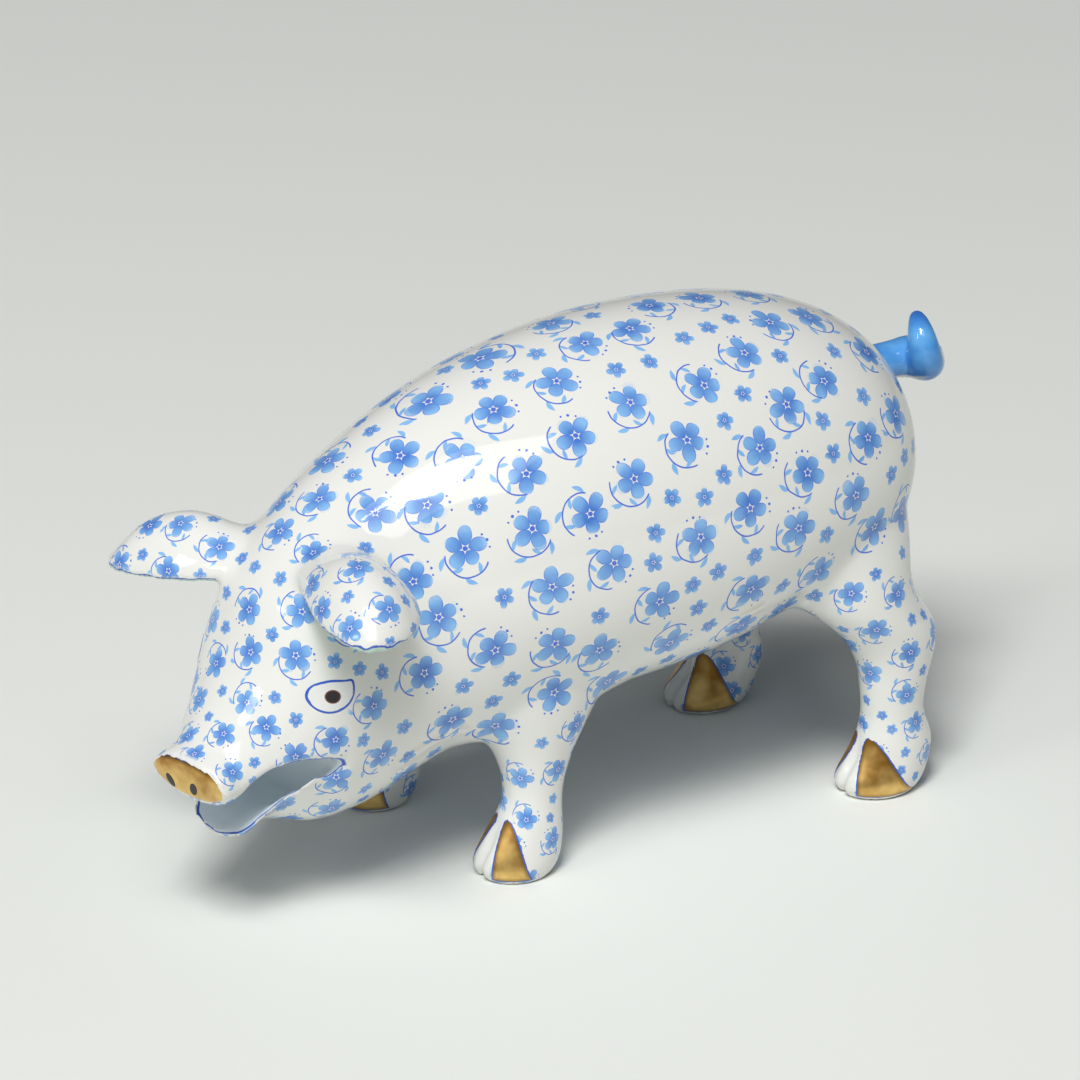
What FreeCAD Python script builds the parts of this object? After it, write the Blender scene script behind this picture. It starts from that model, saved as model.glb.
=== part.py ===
"""Standing pig figurine in slip-cast, glazed and gilded porcelain.

The figure is built as the pottery builds it. A hollow trunk casting and a hollow head casting are luted
together at the neck with slip, and the solid legs, the ears, the tail and the lower jaw are luted on. Firing
makes one rigid figure of them. Gold lustre on snout and hooves and enamel in eyes and nostrils are thin layers.

Millimetres. The pig looks along -X and turns its head to its left, its left side faces -Y, and it stands on
Z = 0. The tables below are drawn on the straight pig; bend_neck() then turns the head. The origin is on the
ground, under the middle of the finished figure's bounding box.
"""
import FreeCAD
import Part
import math
import os
from FreeCAD import Vector

# ---------------------------------------------------------------- driving dimensions
wall = 3.2                  # thickness that the slip leaves in the plaster mould
vent_radius = 2.4           # hole under the belly that lets the kiln gases out
vent_section_index = 7      # section of the body in whose belly the vent is
layer_thickness = 0.22      # gold lustre and enamel as fired

neck_bend_start = -22.0     # the spine runs straight behind this x, and bends sideways in front of it
neck_bend_length = 20.0
head_yaw = math.radians(15.0)

# Cross-sections of the body from rump to snout: dorsal point (x, z), belly point (x, z), half width
body_sections = [
    ((52.1, 48.1), (52.0, 45.7), 1.2),      # rump, under the tail
    ((51.9, 50.9), (51.4, 42.7), 4.6),
    ((51.5, 53.6), (49.9, 38.8), 8.8),
    ((49.6, 58.4), (47.4, 34.4), 14.0),     # hams
    ((44.8, 63.8), (42.4, 31.2), 19.2),
    ((34.4, 68.9), (33.0, 27.4), 23.2),     # loin and flank
    ((20.0, 71.7), (20.0, 22.6), 25.2),
    ((4.0, 72.1), (5.0, 20.2), 25.2),       # back and belly
    ((-11.0, 70.0), (-9.0, 18.8), 23.8),
    ((-23.5, 66.2), (-20.0, 17.0), 21.4),   # shoulders
    ((-34.5, 61.0), (-29.5, 14.6), 18.6),   # neck
    ((-43.5, 56.2), (-38.5, 11.7), 16.2),
    ((-50.0, 51.0), (-45.0, 11.3), 14.6),   # crown and jowl
    ((-54.1, 45.1), (-50.5, 12.6), 12.8),   # eyes and mouth corner
    ((-57.0, 38.3), (-55.4, 16.4), 10.6),
    ((-60.6, 32.4), (-59.6, 19.0), 8.4),
    ((-64.7, 28.3), (-63.6, 19.6), 6.9),    # muzzle
    ((-68.1, 27.3), (-66.4, 20.4), 7.4),    # snout rim
]
neck_section_index = 10     # the castings are luted together in this section's plane
first_hollow_index = 3      # the core of the mould reaches from this section
last_hollow_index = 12      # to this one
widest_height = 0.47        # height of the widest point, as a share of the section
round_a_section = 16        # how many of the spline's knots lie round a section of body, mouth, jaw or ear
beyond = 100.0              # far outside the figure: reach of the forms that only cut or project

# Open mouth: x, height of the upper lip, and how far the palate arches above it
mouth_sections = [
    (-50.2, 25.1, 0.6),
    (-54.0, 24.9, 1.2),
    (-59.0, 23.5, 2.0),
    (-63.2, 21.2, 0.6),
    (-65.6, 19.0, 0.0),
    (-71.0, 14.0, 0.0),
]
mouth_half_width = 16.0     # wider than the head, so that the mouth opens on both sides
mouth_floor = 6.0           # lower than the jaw, which is a piece of its own

# Lower jaw, a trough: x, half width and height of the rim, height of the keel and thickness of its floor
jaw_sections = [
    (-47.0, 11.8, 24.0, 11.8, 4.4),
    (-50.5, 12.0, 24.4, 12.6, 3.6),
    (-53.5, 10.8, 23.4, 13.4, 2.8),
    (-56.5, 8.8, 21.6, 14.2, 2.3),
    (-59.4, 6.7, 18.6, 13.9, 1.8),
    (-62.0, 4.8, 15.7, 13.0, 1.3),
]
jaw_edge = 1.0              # thickness of the lip
jaw_keel_power = 1.3        # power of the curve from keel to rim: 1 is a V, 2 a parabola
jaw_hollow_power = 2.0      # the same, for the inside

# Legs: height, shift to the rear and inwards from the hoof's centre, half length, half width
front_leg_sections = [
    (0.0, -0.7, 0.0, 5.0, 4.7),
    (1.2, -0.6, 0.0, 5.9, 5.3),
    (4.0, 0.3, 0.0, 5.9, 5.2),
    (6.6, 1.2, 0.0, 5.2, 4.7),
    (10.0, 2.1, 0.1, 4.3, 4.1),
    (14.0, 2.6, 0.4, 4.6, 4.3),
    (19.0, 3.3, 0.9, 6.2, 5.4),
    (25.0, 3.7, 2.2, 9.0, 7.2),
    (32.0, 3.7, 4.6, 11.0, 8.4),
    (40.0, 3.7, 7.0, 9.0, 7.0),
]
rear_leg_sections = [
    (0.0, -1.4, 0.0, 5.4, 4.7),
    (1.2, -1.3, 0.0, 6.4, 5.4),
    (4.0, -0.1, 0.0, 6.5, 5.3),
    (7.0, 1.0, 0.0, 5.9, 4.8),
    (11.0, 0.9, 0.0, 4.7, 4.2),
    (15.0, 0.9, 0.1, 4.8, 4.4),
    (19.0, 1.2, 0.4, 5.6, 5.0),
    (23.5, 0.5, 1.2, 7.2, 6.2),
    (29.0, -3.6, 2.8, 8.6, 7.6),
    (36.0, -4.9, 5.2, 10.2, 8.6),
    (45.0, -5.6, 8.0, 11.0, 8.0),
]
round_a_leg = 12            # how many knots lie round a section of a leg
# Hoof centres on the ground (x, y), and how far each leg leans to the rear for a millimetre of height
hooves = {
    "front_left": (-17.3, -14.4, 0.0),
    "front_right": (-22.5, 15.4, 0.08),
    "rear_left": (41.1, -18.9, 0.0),
    "rear_right": (35.9, 17.9, 0.16),
}
cleft_width = 1.4           # groove between the two toes
cleft_depth = 0.7
cleft_height = 8.0
cleft_slope = 0.3           # the groove leans back by this much for a millimetre of height
toe_gold_height = 8.6       # a patch of gold on each toe: apex, half width at the ground
toe_gold_half_width = 3.2
toe_gold_lean = 1.5         # the apex leans towards the cleft
toe_gold_angle = math.radians(40.0)     # the way each patch faces, from straight ahead
toe_gold_lift = 0.5         # the gold stops short of the unglazed sole

# Ears: a cupped leaf. Share of the length, width, thickness, cup depth, shift of the blade to the rear
ear_sections = [
    (-0.24, 7.6, 3.2, 1.5, 0.4),
    (0.00, 9.8, 3.3, 2.5, 0.2),
    (0.22, 12.0, 2.9, 4.6, 0.8),
    (0.45, 13.4, 2.5, 5.8, 1.3),
    (0.66, 12.6, 2.2, 5.2, 1.5),
    (0.84, 9.6, 2.0, 3.3, 1.2),
    (0.95, 5.6, 1.7, 1.2, 0.6),
    (1.00, 2.4, 1.3, 0.4, 0.2),
]
# Each ear is luted on by hand: root and tip on the straight pig
ears = {
    "ear_left": ((-46.3, -7.5, 48.6), (-56.6, -25.2, 46.8)),
    "ear_right": ((-46.5, 7.5, 45.8), (-55.0, 26.8, 43.6)),
}

# Tail: a stub out of the rump, then one tight curl whose end stands up
tail_root = (44.0, 0.2, 55.4)
tail_curl_centre = (58.7, -0.5, 57.9)
tail_curl_radius = 3.5
tail_start = math.radians(50.0)         # the curl turns from here, below its far side (0),
tail_end = math.radians(272.0)          # past its near side (180), to its top (270)
tail_pitch = -0.4           # how far the curl moves along its axis
along_the_curl = 12         # how many sections the curl has
round_the_curl = 10         # and how many knots lie round each of them
tail_radius_root = 2.9
tail_radius_curl = 2.5
tail_radius_tip = 1.0
tail_taper = 3.0            # power of the way along the curl that the radius falls with
tail_axis = (0.87, -0.46, 0.17)

# Eye: oval of black enamel on each side of the head, and nostrils in the gilded snout
eye_section_index = 13      # section of the body that the eyes are painted near
eye_height = 0.6815         # as a share of that section
eye_behind = 1.05           # how far behind it
eye_half_length = 0.95
eye_half_height = 0.85
snout_gold_margin = 0.3     # white rim round the gold on the snout
nostril_spacing = 4.4
nostril_half_width = 0.55
nostril_half_height = 1.1
nostril_drop = 1.1          # below the middle of the snout
nostril_shift = 1.3         # and, painted by eye, to the right of it
nostril_tilt = math.radians(20.0)


# ---------------------------------------------------------------- helpers
def bend_neck(point):
    """Carry a point of the straight pig round the neck's bend: an arc in plan, then straight on."""
    run = neck_bend_start - point.x
    if run <= 0:
        return point
    arc_radius = neck_bend_length / head_yaw
    angle = min(run, neck_bend_length) / arc_radius
    past = max(0.0, run - neck_bend_length)
    centre = Vector(neck_bend_start - arc_radius * math.sin(angle), -arc_radius * (1 - math.cos(angle)), 0)
    forward = Vector(-math.cos(angle), -math.sin(angle), 0)
    side = Vector(-math.sin(angle), math.cos(angle), 0)
    bent = centre + forward * past + side * point.y
    return Vector(bent.x, bent.y, point.z)


def angles(count):
    return [2 * math.pi * i / count for i in range(count)]


def skin(rings):
    """Solid whose smooth surface passes through closed rings of points, with a flat face at each end."""
    count = len(rings[0])
    ring_curves = []
    for ring in rings:
        curve = Part.BSplineCurve()
        curve.interpolate(Points=ring, PeriodicFlag=True, Parameters=list(range(count + 1)))
        ring_curves.append(curve)
    stations = [0.0]
    for before, after in zip(rings, rings[1:]):
        stations.append(stations[-1] + sum((p - q).Length for p, q in zip(before, after)) / count)
    lines = []
    for poles in zip(*[curve.getPoles() for curve in ring_curves]):
        line = Part.BSplineCurve()
        line.interpolate(Points=list(poles), Parameters=stations)
        lines.append(line)
    around, along = ring_curves[0], lines[0]
    surface = Part.BSplineSurface()
    surface.buildFromPolesMultsKnots(
        [line.getPoles() for line in lines],
        around.getMultiplicities(), along.getMultiplicities(),
        around.getKnots(), along.getKnots(),
        True, False, around.Degree, along.Degree)
    side = surface.toShape()
    caps = [Part.Face(Part.Wire(edge)) for edge in side.Edges if edge.isClosed()]
    closed = Part.Compound([side] + caps)
    closed.sewShape()
    return Part.Solid(closed.Shells[0])


def save(shape, name):
    shape.exportStep(os.path.join("parts", name + ".step"))
    print("%-28s solids %d  volume %9.1f mm3  valid %s" % (name, len(shape.Solids), shape.Volume, shape.isValid()))


# ---------------------------------------------------------------- the castings
def body_ring(dorsal, belly, half_width, inset=0.0):
    """Egg-shaped section between a dorsal and a belly point; the inset is the wall, for the cavity."""
    top = Vector(dorsal[0], 0, dorsal[1])
    bottom = Vector(belly[0], 0, belly[1])
    middle = bottom + (top - bottom) * widest_height
    up = top - middle
    down = bottom - middle
    points = []
    for angle in angles(round_a_section):
        reach = up if math.sin(angle) >= 0 else down
        rise = reach * ((reach.Length - inset) / reach.Length * abs(math.sin(angle)))
        points.append(bend_neck(middle + rise + Vector(0, (half_width - inset) * math.cos(angle), 0)))
    return points


def body_form(inset=0.0):
    return skin([body_ring(*section, inset=inset) for section in body_sections])


def cavity_form():
    hollow = body_sections[first_hollow_index:last_hollow_index + 1]
    return skin([body_ring(*section, inset=wall) for section in hollow])


def mouth_form():
    """Space of the open mouth, whose arched top cuts the lip and the palate out of the muzzle."""
    rings = []
    for x, lip, arch in mouth_sections:
        points = []
        for angle in angles(round_a_section):
            across = math.cos(angle)
            top = lip + arch * (1 - across * across)
            height = top if math.sin(angle) >= 0 else mouth_floor
            points.append(bend_neck(Vector(x, mouth_half_width * across, height)))
        rings.append(points)
    return skin(rings)


def in_front_of_neck():
    """Large block in front of the plane in which the castings are luted together."""
    dorsal, belly, half_width = body_sections[neck_section_index]
    top = bend_neck(Vector(dorsal[0], 0, dorsal[1]))
    bottom = bend_neck(Vector(belly[0], 0, belly[1]))
    middle = (top + bottom) * 0.5
    left = bend_neck(Vector((dorsal[0] + belly[0]) / 2, -half_width, middle.z))
    up = (top - bottom).normalize() * beyond
    across = (left - middle).normalize() * beyond
    forward = across.cross(up).normalize() * beyond
    if forward.x > 0:
        forward = forward * -1
    corners = [middle + up + across, middle + up - across, middle - up - across, middle - up + across]
    return Part.Face(Part.makePolygon(corners + corners[:1])).extrude(forward)


# ---------------------------------------------------------------- pieces luted on
def jaw_form():
    """Trough with a thin lip: its upper and lower curves rise from the keel to the rim."""
    rings = []
    for x, half_width, rim, keel, floor in jaw_sections:
        points = []
        for angle in angles(round_a_section):
            across = math.cos(angle)
            under = keel + (rim - jaw_edge - keel) * abs(across) ** jaw_keel_power
            over = keel + floor + (rim - keel - floor) * abs(across) ** jaw_hollow_power
            share = (1 + math.sin(angle)) / 2
            points.append(bend_neck(Vector(x, half_width * across, under + (over - under) * share)))
        rings.append(points)
    return skin(rings)


def leg_form(sections, hoof, spread=0.0):
    """Leg as a stack of ovals; spread makes it thicker all round, for the gold on its toes."""
    x, y, lean = hoof
    outward = math.copysign(1.0, y)
    rings = []
    for height, shift, inward, half_length, half_width in sections:
        centre = Vector(x + shift + lean * height, y - outward * inward, height)
        rings.append([centre + Vector((half_length + spread) * math.cos(angle),
                                      (half_width + spread) * math.sin(angle), 0) for angle in angles(round_a_leg)])
    return skin(rings)


def cleft_form(sections, hoof):
    """V-shaped groove up the front of a hoof."""
    x, y, lean = hoof
    _, shift, _, half_length, _ = sections[1]
    front = x + shift - half_length
    mouth = front - cleft_width
    half_mouth = cleft_width * (cleft_width + cleft_depth) / (2 * cleft_depth)
    outline = [Vector(mouth, y - half_mouth, 0), Vector(mouth, y + half_mouth, 0), Vector(front + cleft_depth, y, 0)]
    way = Vector((cleft_slope + lean) * cleft_height, 0, cleft_height)
    return Part.Face(Part.makePolygon(outline + outline[:1])).extrude(way)


def toe_gold_form(leg, sections, hoof):
    """Two triangular patches of gold lustre, one on each toe, as a layer on the leg's surface."""
    x, y, lean = hoof
    coated = leg_form(sections, hoof, layer_thickness)
    patches = []
    for side in (-1, 1):
        outward = Vector(-math.cos(toe_gold_angle), side * math.sin(toe_gold_angle), 0)
        across = Vector(outward.y, -outward.x, 0)
        foot = Vector(x, y, toe_gold_lift)
        apex = foot - across * (side * toe_gold_lean)
        apex += Vector(lean * toe_gold_height, 0, toe_gold_height - toe_gold_lift)
        corners = [foot + across * toe_gold_half_width, foot - across * toe_gold_half_width, apex]
        stencil = Part.Face(Part.makePolygon(corners + corners[:1])).extrude(outward * beyond)
        patches += stencil.common(coated).cut(leg).Solids
    return Part.makeCompound(patches)


def ear_form(root, tip):
    """Cupped leaf from root to tip, its hollow side down."""
    root, tip = bend_neck(Vector(*root)), bend_neck(Vector(*tip))
    along = tip - root
    rear = Vector(0, 0, 1).cross(along).normalize()
    if rear.x < 0:
        rear = rear * -1
    crown = along.cross(rear).normalize()
    if crown.z < 0:
        crown = crown * -1
    rings = []
    for share, width, thickness, cup, shift in ear_sections:
        centre = root + along * share + rear * shift
        points = []
        for angle in angles(round_a_section):
            u = math.cos(angle)
            slope = 4 * cup * u / width
            length = math.sqrt(1 + slope * slope)
            half = thickness / 2 * math.sin(angle)
            sideways = width / 2 * u + half * slope / length
            rise = cup * (1 - u * u) + half / length
            points.append(centre + rear * sideways + crown * rise)
        rings.append(points)
    return skin(rings)


def tail_form():
    """Stub out of the rump, and a tube that curls round from its far side, under it, and up to a thin tip."""
    axis = Vector(*tail_axis).normalize()
    far = Vector(0, 0, 1).cross(axis).normalize()
    up = axis.cross(far)
    centre = Vector(*tail_curl_centre)
    root = Vector(*tail_root)
    start = (far * math.cos(tail_start) - up * math.sin(tail_start)) * tail_curl_radius
    reach = centre + start - root
    stub = Part.makeCone(tail_radius_root, tail_radius_curl, reach.Length, root, reach)
    rings = []
    for i in range(along_the_curl + 1):
        share = i / along_the_curl
        turn = tail_start + (tail_end - tail_start) * share
        outward = far * math.cos(turn) - up * math.sin(turn)
        middle = centre + outward * tail_curl_radius + axis * (tail_pitch * (share - 0.5))
        radius = tail_radius_curl + (tail_radius_tip - tail_radius_curl) * share ** tail_taper
        rings.append([middle + (outward * math.cos(a) + axis * math.sin(a)) * radius for a in angles(round_the_curl)])
    return stub.fuse(skin(rings))


def snout_frame():
    """Middle of the snout's face, the way it looks, its upward and its sideways direction."""
    dorsal, belly, half_width = body_sections[-1]
    top = bend_neck(Vector(dorsal[0], 0, dorsal[1]))
    bottom = bend_neck(Vector(belly[0], 0, belly[1]))
    middle = (top + bottom) * 0.5
    up = (top - bottom).normalize()
    side = Vector(-math.sin(head_yaw), math.cos(head_yaw), 0)
    forward = side.cross(up)
    if forward.x > 0:
        forward = forward * -1
    return middle, forward, up, side


def nostril_forms(depth):
    """Oval plugs of the two nostrils, standing out from the snout's face by depth."""
    middle, forward, up, side = snout_frame()
    plugs = []
    for way in (-1, 1):
        centre = middle + side * (nostril_shift + way * nostril_spacing / 2) - up * nostril_drop
        long_axis = up * math.cos(nostril_tilt) + side * (way * math.sin(nostril_tilt))
        oval = Part.Ellipse(centre + long_axis * nostril_half_height,
                            centre + long_axis.cross(forward) * nostril_half_width, centre)
        plugs.append(Part.Face(Part.Wire(oval.toShape())).extrude(forward * depth))
    return plugs


def snout_gilding_form():
    """Gold lustre all over the face of the snout, but for the nostrils."""
    middle, forward, up, side = snout_frame()
    rim = Part.BSplineCurve()
    rim.interpolate(Points=body_ring(*body_sections[-1], inset=snout_gold_margin), PeriodicFlag=True)
    disc = Part.Face(Part.Wire(rim.toShape())).extrude(forward * layer_thickness)
    return disc.cut(Part.makeCompound(nostril_forms(layer_thickness)))


def eye_forms(body):
    """Oval of enamel on each side of the head: right eye first."""
    coated = body_form(inset=-layer_thickness)
    (top_x, top_z), (bottom_x, bottom_z), _ = body_sections[eye_section_index]
    eye_x = bottom_x + (top_x - bottom_x) * eye_height + eye_behind
    eye_z = bottom_z + (top_z - bottom_z) * eye_height
    eyes = {}
    for name, way in (("eye_enamel_right", 1), ("eye_enamel_left", -1)):
        inner = bend_neck(Vector(eye_x, 0, eye_z))
        outward = Vector(-math.sin(head_yaw), math.cos(head_yaw), 0) * way
        along = Vector(math.cos(head_yaw), math.sin(head_yaw), 0)
        oval = Part.Ellipse(inner + along * eye_half_length, inner + Vector(0, 0, eye_half_height), inner)
        stencil = Part.Face(Part.Wire(oval.toShape())).extrude(outward * beyond)
        eyes[name] = stencil.common(coated).cut(body)
    return eyes


def vent_form():
    """Round hole from the ground into the hollow."""
    _, (x, belly), _ = body_sections[vent_section_index]
    return Part.makeCylinder(vent_radius, belly + 2 * wall, Vector(x, 0, 0))


def main():
    os.makedirs("parts", exist_ok=True)
    pieces = {}
    body = body_form()
    closed = body.cut(mouth_form())
    front = in_front_of_neck()
    shell = closed.cut(cavity_form())
    pieces["trunk_shell"] = shell.cut(front).cut(vent_form())
    pieces["head_shell"] = shell.common(front)
    pieces["lower_jaw"] = jaw_form().cut(closed)
    for name, hoof in hooves.items():
        sections = front_leg_sections if name.startswith("front") else rear_leg_sections
        leg = leg_form(sections, hoof)
        groove = cleft_form(sections, hoof)
        pieces["leg_" + name] = leg.cut(body).cut(groove)
        pieces["hoof_gilding_" + name] = toe_gold_form(leg, sections, hoof)
    for name, placing in ears.items():
        pieces[name] = ear_form(*placing).cut(body)
    pieces["tail_curl"] = tail_form().cut(body)
    pieces["snout_gilding"] = snout_gilding_form()
    pieces["nostril_enamel"] = Part.makeCompound(nostril_forms(layer_thickness))
    pieces.update(eye_forms(body))

    # Put the origin on the ground under the middle of the bounding box
    box = Part.makeCompound(list(pieces.values())).optimalBoundingBox(False)
    to_origin = Vector(-box.Center.x, -box.Center.y, -box.ZMin)
    for name, shape in pieces.items():
        save(shape.translated(to_origin), name)
    print("moved to the origin by", to_origin, "size", box.XLength, box.YLength, box.ZLength)


main()
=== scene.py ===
import bpy
import math
from functools import partial
import numpy as np
from mathutils import Euler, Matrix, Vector
from mathutils.bvhtree import BVHTree


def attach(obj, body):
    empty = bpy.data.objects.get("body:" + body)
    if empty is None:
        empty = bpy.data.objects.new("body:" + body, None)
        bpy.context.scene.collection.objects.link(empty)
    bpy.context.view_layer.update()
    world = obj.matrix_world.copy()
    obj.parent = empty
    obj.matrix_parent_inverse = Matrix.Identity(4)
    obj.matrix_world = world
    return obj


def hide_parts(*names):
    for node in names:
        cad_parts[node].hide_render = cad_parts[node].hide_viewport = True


# Pig of slip-cast porcelain, drawn in millimetres on a straight pig that looks along -X. bend() turns the
# head to its left, and makePiece() puts each piece where the frame has the figure, in metres.
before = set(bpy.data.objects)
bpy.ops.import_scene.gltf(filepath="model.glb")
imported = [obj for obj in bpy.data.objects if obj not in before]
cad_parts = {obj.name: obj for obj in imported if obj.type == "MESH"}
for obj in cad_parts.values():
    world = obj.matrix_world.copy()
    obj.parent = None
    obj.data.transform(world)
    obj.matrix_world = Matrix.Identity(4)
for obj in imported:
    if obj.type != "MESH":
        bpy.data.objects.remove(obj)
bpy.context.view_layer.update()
shift = np.array([2.7921, 2.8465, 0.0])         # mm, from the drawn pig to the middle of the figure's box
random = np.random.default_rng(11)
tiny = 1e-9                 # keeps a division off zero
perMetre = 1000
farOff = 99.0               # mm, for what is out of reach


def linear(code, alpha=1.0):
    # sRGB hex to the linear colour that the shaders take
    srgb = [int(code[i:i + 2], 16) / 255 for i in (1, 3, 5)]
    return [c / 12.92 if c <= 0.04045 else ((c + 0.055) / 1.055) ** 2.4 for c in srgb] + [alpha]


def turns(count):
    return np.arange(count) * 2 * np.pi / count


neck = {"start": -22.0, "length": 20.0, "yaw": math.radians(15.0)}


def bend(points):
    # In front of the neck's start the spine follows an arc in plan, then runs straight on at the head's yaw
    x, y, z = points[..., 0], points[..., 1], points[..., 2]
    radius = neck["length"] / neck["yaw"]
    run = np.maximum(neck["start"] - x, 0)
    angle = np.minimum(run, neck["length"]) / radius
    past = np.maximum(run - neck["length"], 0)
    bentX = np.maximum(x, neck["start"]) - radius * np.sin(angle) - past * np.cos(angle) - y * np.sin(angle)
    bentY = -radius * (1 - np.cos(angle)) - past * np.sin(angle) + y * np.cos(angle)
    return np.stack([bentX, bentY, z], -1)


def straighten(points):
    # The reverse of bend, for points of the head
    yaw, radius = neck["yaw"], neck["length"] / neck["yaw"]
    fromX = points[..., 0] - (neck["start"] - radius * math.sin(yaw))
    fromY = points[..., 1] + radius * (1 - math.cos(yaw))
    past = -fromX * math.cos(yaw) - fromY * math.sin(yaw)
    across = -fromX * math.sin(yaw) + fromY * math.cos(yaw)
    return np.stack([neck["start"] - neck["length"] - past, across, points[..., 2]], -1)


def splineThrough(points, knots, wanted, closed=False):
    # Cubic spline with even bend at the points; open ends run out unbent
    if closed:
        points = np.concatenate([points, points[:1]])
    shape, count = points.shape[1:], len(points)
    points = points.reshape(count, -1)
    step = np.diff(knots)
    slope = np.diff(points, axis=0) / step[:, None]
    system, right = np.zeros((count, count)), np.zeros_like(points)
    inner = np.arange(1, count - 1)
    system[inner, inner - 1], system[inner, inner + 1] = step[:-1], step[1:]
    system[inner, inner] = 2 * (step[:-1] + step[1:])
    right[1:-1] = 6 * np.diff(slope, axis=0)
    system[0, 0] = system[-1, -1] = 1
    if closed:
        system[0, -1] = -1
        system[-1, [0, 1, -2, -1]] = 2 * step[0], step[0], step[-1], 2 * step[-1]
        right[-1] = 6 * (slope[0] - slope[-1])
    curve = np.linalg.solve(system, right)
    i = np.clip(np.searchsorted(knots, wanted, "right") - 1, 0, count - 2)
    h, a, b = step[i][:, None], (knots[i + 1] - wanted)[:, None], (wanted - knots[i])[:, None]
    value = (curve[i] * a ** 3 + curve[i + 1] * b ** 3) / (6 * h)
    value += (points[i] / h - curve[i] * h / 6) * a + (points[i + 1] / h - curve[i + 1] * h / 6) * b
    return value.reshape((len(wanted),) + shape)


def skinGrid(rings, along, around):
    # A spline round each closed ring, then one along them
    count = rings.shape[1]
    stations = np.concatenate([[0], np.cumsum(np.linalg.norm(np.diff(rings, axis=0), axis=2).mean(1))])
    places = np.arange(around) * count / around
    rings = splineThrough(rings.transpose(1, 0, 2), np.arange(count + 1.0), places, True)
    return splineThrough(rings.transpose(1, 0, 2), stations, np.linspace(0, stations[-1], along))


def closedGrid(grid):
    # Triangles of a tube with a fan on each end, all facing outwards
    along, around = grid.shape[:2]
    first = (np.arange(along - 1)[:, None] * around + np.arange(around)).ravel()
    second = (np.arange(along - 1)[:, None] * around + (np.arange(around) + 1) % around).ravel()
    sides = np.concatenate([np.stack([first, second, second + around], 1),
                            np.stack([first, second + around, first + around], 1)])
    here, there = np.arange(around), (np.arange(around) + 1) % around
    last, start, end = (along - 1) * around, along * around, along * around + 1
    caps = np.concatenate([np.stack([there, here, np.full(around, start)], 1),
                           np.stack([here + last, there + last, np.full(around, end)], 1)])
    points = np.concatenate([grid.reshape(-1, 3), grid[0].mean(0)[None], grid[-1].mean(0)[None]])
    faces = np.concatenate([sides, caps])
    a, b, c = points[faces[:, 0]], points[faces[:, 1]], points[faces[:, 2]]
    if (np.cross(a, b) * c).sum() < 0:
        faces = faces[:, ::-1]
    return points, faces


def newObject(name, points, faces):
    mesh = bpy.data.meshes.new(name)
    mesh.from_pydata(points.tolist(), [], faces.tolist())
    made = bpy.data.objects.new(name, mesh)
    bpy.context.scene.collection.objects.link(made)
    return made


def afterModifiers(work, corners):
    # Points and faces of an object as its modifiers leave it; the object goes
    final = work.evaluated_get(bpy.context.evaluated_depsgraph_get()).to_mesh()
    points = np.empty(len(final.vertices) * 3)
    final.vertices.foreach_get("co", points)
    if corners == 3:
        final.calc_loop_triangles()
        faces = np.empty(len(final.loop_triangles) * 3, int)
        final.loop_triangles.foreach_get("vertices", faces)
    else:
        faces = np.empty(len(final.loops), int)
        final.loops.foreach_get("vertex_index", faces)
    bpy.data.objects.remove(work)
    return points.reshape(-1, 3), faces.reshape(-1, corners)


def cutAway(solid, tool):
    # One closed form less another
    work, knife = newObject("work", *solid), newObject("knife", *tool)
    cut = work.modifiers.new("cut", "BOOLEAN")
    cut.operation, cut.solver, cut.object = "DIFFERENCE", "MANIFOLD", knife
    left = afterModifiers(work, 3)
    bpy.data.objects.remove(knife)
    return left


askew = (0.6, 0.5, 0.4)     # radians about x, y and z
oblique = np.array(Euler(askew).to_matrix())


def grownTogether(forms, voxel):
    # One closed quad mesh round all the forms, on a grid askew to them, so that no rim comes out in long
    # steps
    offsets = np.cumsum([0] + [len(points) for points, faces in forms[:-1]])
    points = np.concatenate([points for points, faces in forms]) @ oblique
    faces = np.concatenate([form[1] + offset for form, offset in zip(forms, offsets)])
    work = newObject("work", points, faces)
    grid = work.modifiers.new("grid", "REMESH")
    grid.mode, grid.voxel_size, grid.adaptivity = "VOXEL", voxel, 0
    points, faces = afterModifiers(work, 4)
    return points @ oblique.T, faces


def edgesOf(faces):
    pairs = np.sort(np.stack([faces, np.roll(faces, -1, 1)], -1).reshape(-1, 2), 1)
    return np.unique(pairs, axis=0)


inward, outAgain = 0.5, -0.52   # shares of the way to the neighbours' mean


def relax(points, edges, rounds, amount=1.0, shrink=False):
    # Each round moves points towards the mean of their neighbours and, unless it may shrink, back out again
    a, b = edges.T
    size = len(points)
    neighbours = np.bincount(edges.ravel(), minlength=size)[:, None]
    amount = np.broadcast_to(np.reshape(amount, (-1, 1)), (size, 1))
    points = points.copy()
    for step in ([inward] if shrink else [inward, outAgain]) * rounds:
        total = np.stack([np.bincount(a, points[b, k], size) + np.bincount(b, points[a, k], size)
                          for k in range(3)], 1)
        points += step * amount * (total / neighbours - points)
    return points


def normalsOf(points, faces):
    # Mean of the normals of the faces round each point
    first, second, third, last = (points[faces[:, k]] for k in (0, 1, 2, -1))
    facing = np.cross(third - first, last - second)
    total = np.stack([np.bincount(faces.ravel(), np.repeat(facing[:, k], faces.shape[1]), len(points))
                      for k in range(3)], 1)
    return total / np.maximum(np.linalg.norm(total, axis=1, keepdims=True), tiny)


def treeOf(points, faces):
    return BVHTree.FromPolygons(points.tolist(), faces.tolist())


def nearest(tree, points):
    # Nearest spot on a surface and its normal, for each point
    found = [tree.find_nearest(point) for point in points.tolist()]
    return np.array([hit[0] for hit in found]), np.array([hit[1] for hit in found])


def smoothStep(low, high, value):
    t = np.clip((value - low) / (high - low), 0, 1)
    return t * t * (3 - 2 * t)


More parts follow.
